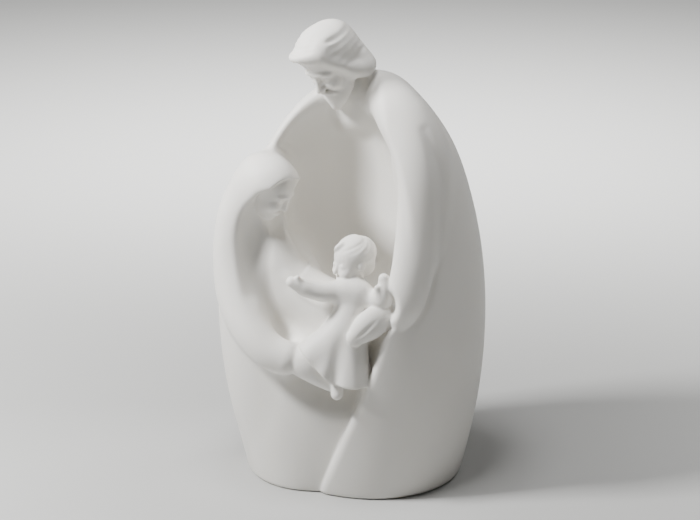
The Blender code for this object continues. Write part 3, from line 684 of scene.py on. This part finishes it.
def settle(form, points, side=16.0, reach=0.12):
    """Moves each point of the skin along the slope until it lies on the form itself."""
    key = np.floor((points - points.min(0)) / side).astype(np.int64)
    size = key.max(0) + 1
    flat = (key[:, 0] * size[1] + key[:, 1]) * size[2] + key[:, 2]
    order = np.argsort(flat, kind="stable")
    cuts = np.nonzero(np.diff(flat[order]))[0] + 1
    ends = reach * np.array([[1, 1, 1], [1, -1, -1], [-1, 1, -1], [-1, -1, 1]], np.float32)
    for chosen in np.split(order, cuts):
        batch = points[chosen]
        found = form(Patch(np.concatenate([batch + end for end in ends])), 1.5).reshape(4, -1)
        slope = (found.T @ ends) / (4 * reach * reach)
        steep = np.maximum((slope * slope).sum(1), 0.1)
        points[chosen] = batch - slope * np.clip(found.mean(0) / steep, -0.6, 0.6)[:, None]
    return points


def mesh_from(name, points, quads):
    """A smooth-shaded mesh of the skin's points and quads."""
    mesh = bpy.data.meshes.new(name)
    mesh.vertices.add(len(points))
    mesh.vertices.foreach_set("co", points.ravel())
    mesh.loops.add(4 * len(quads))
    mesh.loops.foreach_set("vertex_index", quads.ravel())
    mesh.polygons.add(len(quads))
    mesh.polygons.foreach_set("loop_start", np.arange(0, 4 * len(quads), 4, dtype=np.int32))
    mesh.update(calc_edges=True)
    mesh.shade_smooth()
    return mesh


# The fine skin of the casting: cell size and the box round the statue, in parts, and how many
# triangles the skin may keep
FINE_CELL = 0.8
FINE_TRIANGLES = 190000
BOX_LOW = np.array([-82.0, -72.0, -2.0])
BOX_HIGH = np.array([84.0, 60.0, 256.0])

whole = statue()
points, quads = skin(sample(whole, BOX_LOW, BOX_HIGH, FINE_CELL), BOX_LOW, FINE_CELL)
points = settle(whole, points)
# the underside is ground flat
points[np.abs(points[:, 2]) < 0.02, 2] = 0.0
mesh = mesh_from("casting", points * np.float32(PART), quads)
casting = bpy.data.objects.new("holy_family_casting", mesh)
bpy.context.scene.collection.objects.link(casting)
thin = casting.modifiers.new("fewer faces", "DECIMATE")
thin.ratio = min(1.0, FINE_TRIANGLES / (2.0 * len(quads)))


def linear(code):
    """A screen colour such as "F4F1EA" as linear light."""
    values = [int(code[i:i + 2], 16) / 255 for i in (0, 2, 4)]
    return (*[v / 12.92 if v <= 0.04045 else ((v + 0.055) / 1.055) ** 2.4 for v in values], 1.0)


def node(tree, kind, settings=None, **links):
    """Adds a shader node with its settings and its input values or links, with _ for a space."""
    made = tree.nodes.new(kind)
    for name, value in (settings or {}).items():
        setattr(made, name, value)
    for name, value in links.items():
        socket = made.inputs[name.replace("_", " ")]
        if isinstance(value, bpy.types.NodeSocket):
            tree.links.new(value, socket)
        else:
            socket.default_value = value
    return made


def bisque_porcelain():
    """Unglazed fired porcelain: a dry, fine sugar-like grain, faintly warm, with a little depth."""
    material = bpy.data.materials.new("white bisque porcelain")
    material.use_nodes = True
    tree = material.node_tree
    tree.nodes.clear()
    place = node(tree, "ShaderNodeTexCoord").outputs["Object"]
    # slow drift of tone across the casting, about 30 mm
    drift = node(tree, "ShaderNodeTexNoise", Vector=place, Scale=33.0, Detail=2.0, Roughness=0.5)
    # fine grain of the bisque, about 0.25 mm
    grain = node(tree, "ShaderNodeTexNoise", Vector=place, Scale=4000.0, Detail=2.0, Roughness=0.6)
    # the mix node's inputs 6 and 7 and its output 2 are its colours
    tone = node(tree, "ShaderNodeMix", {"data_type": "RGBA"}, Factor=drift.outputs["Fac"])
    tone.inputs[6].default_value = linear("EBE9E4")
    tone.inputs[7].default_value = linear("E6E3DD")
    dry = node(tree, "ShaderNodeMapRange", Value=grain.outputs["Fac"], To_Min=0.50, To_Max=0.62)
    # the sponge leaves the surface very slightly uneven over some 6 mm
    sponged = node(tree, "ShaderNodeTexNoise", Vector=place, Scale=160.0, Detail=1.0)
    swell = node(tree, "ShaderNodeBump", Strength=0.25, Distance=0.00012, Height=sponged.outputs["Fac"])
    rough = node(tree, "ShaderNodeBump", Strength=0.35, Distance=0.00003, Height=grain.outputs["Fac"],
                 Normal=swell.outputs["Normal"])
    shader = node(tree, "ShaderNodeBsdfPrincipled", Base_Color=tone.outputs[2], Metallic=0.0, IOR=1.5,
                  Roughness=dry.outputs["Result"], Normal=rough.outputs["Normal"])
    shader.inputs["Specular IOR Level"].default_value = 0.35
    # light sinks about a millimetre into the thin body
    shader.inputs["Subsurface Weight"].default_value = 0.15
    shader.inputs["Subsurface Radius"].default_value = (1.0, 0.9, 0.75)
    shader.inputs["Subsurface Scale"].default_value = 0.0012
    node(tree, "ShaderNodeOutputMaterial", Surface=shader.outputs["BSDF"])
    return material


casting.data.materials.append(bisque_porcelain())
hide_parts("holy_family_statue")
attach(casting, "root")

# Studio, which isn't part of the statue.
# A pale paper floor. A soft lamp stands close by at the upper left, weaker ones above and at the
# right behind, and four broad ones face away from the statue and light the paper around it.
paper = bpy.data.materials.new("pale paper")
paper.use_nodes = True
paper_shader = paper.node_tree.nodes["Principled BSDF"]
paper_shader.inputs["Base Color"].default_value = linear("C2C2C0")
paper_shader.inputs["Roughness"].default_value = 0.9
paper_shader.inputs["Specular IOR Level"].default_value = 0.1
bpy.ops.mesh.primitive_plane_add(size=12.0, location=(0, 0, -0.0002))
floor = bpy.context.object
floor.name = "paper_floor"
floor.data.materials.append(paper)

world = bpy.data.worlds.new("surround")
bpy.context.scene.world = world
world.use_nodes = True
world.node_tree.nodes["Background"].inputs["Color"].default_value = (1.0, 1.0, 1.0, 1.0)
world.node_tree.nodes["Background"].inputs["Strength"].default_value = 0.04


def lamp(name, place, aim, size, power):
    """A square lamp at a place, turned to what it lights. Size in metres, power in watts."""
    light = bpy.data.lights.new(name, "AREA")
    light.size = size
    light.energy = power
    made = bpy.data.objects.new(name, light)
    bpy.context.scene.collection.objects.link(made)
    made.location = place
    made.rotation_euler = (Vector(aim) - Vector(place)).to_track_quat("-Z", "Y").to_euler()


lamp("key", (-0.40, -0.13, 0.50), (-0.01, -0.02, 0.17), 0.10, 6.4)
lamp("top", (-0.05, -0.10, 0.68), (0, 0, 0.15), 0.16, 2.0)
lamp("rim", (0.32, 0.17, 0.63), (0.02, 0, 0.15), 0.20, 0.9)
PAPER_LAMP_OUT, PAPER_LAMP_HIGH = 0.60, 0.75
PAPER_LIT_OUT = 1.7
for side, (x, y), power in (("behind", (0, 1), 34.0), ("left", (-1, 0), 18.0),
                            ("right", (1, 0), 18.0), ("before", (0, -1), 8.0)):
    place = (PAPER_LAMP_OUT * x, PAPER_LAMP_OUT * y, PAPER_LAMP_HIGH)
    lamp("paper " + side, place, (PAPER_LIT_OUT * x, PAPER_LIT_OUT * y, 0), 0.60, power)

# Camera: a long lens about a metre away, 17 degrees above the level
AIM_HEIGHT = 118.6 * PART
CAMERA_DISTANCE = 1000 * PART
CAMERA_RISE = math.radians(17)
camera = bpy.data.cameras.new("camera")
camera.sensor_width = 36.0
camera.lens = 94.68
eye = bpy.data.objects.new("camera", camera)
bpy.context.scene.collection.objects.link(eye)
out_level = CAMERA_DISTANCE * math.cos(CAMERA_RISE)
eye.location = (0, -out_level, AIM_HEIGHT + CAMERA_DISTANCE * math.sin(CAMERA_RISE))
eye.rotation_euler = (Vector((0, 0, AIM_HEIGHT)) - eye.location).to_track_quat("-Z", "Y").to_euler()
bpy.context.scene.camera = eye
